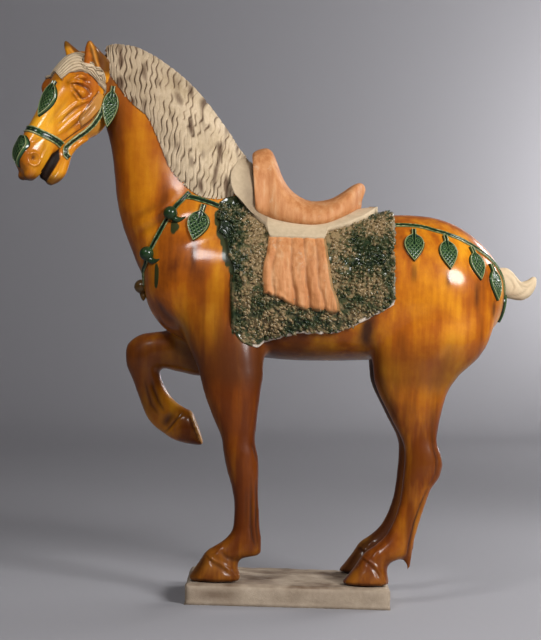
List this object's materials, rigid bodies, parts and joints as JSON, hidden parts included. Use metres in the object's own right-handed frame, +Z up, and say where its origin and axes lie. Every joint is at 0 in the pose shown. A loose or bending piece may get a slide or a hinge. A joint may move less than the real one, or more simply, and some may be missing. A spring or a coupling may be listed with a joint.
{
  "type": "tomb horse figure",
  "caption": "Saddled pottery tomb horse in amber, green and cream glaze, head turned and one foreleg raised, on a thin rectangular slab.",
  "frame": {"origin": "on the underside of the slab, near its middle", "axes": "the horse faces -X, its left side is -Y, and +Z is up"},
  "size_m": [0.6976, 0.191, 0.737],
  "materials": {
    "amber_glaze": "glossy lead glaze in amber and brown on fired earthenware, finely crazed",
    "green_glaze": "dark green lead glaze, pale where it thins on raised edges",
    "bare_clay": "matte buff-white earthenware left unglazed, stained with earth in the hollows",
    "painted_saddle": "matte orange pigment brushed on bare clay, worn at the edges"
  },
  "bodies": {
    "root": {"horse": "amber_glaze", "plinth": "bare_clay"}
  },
  "joints": []
}
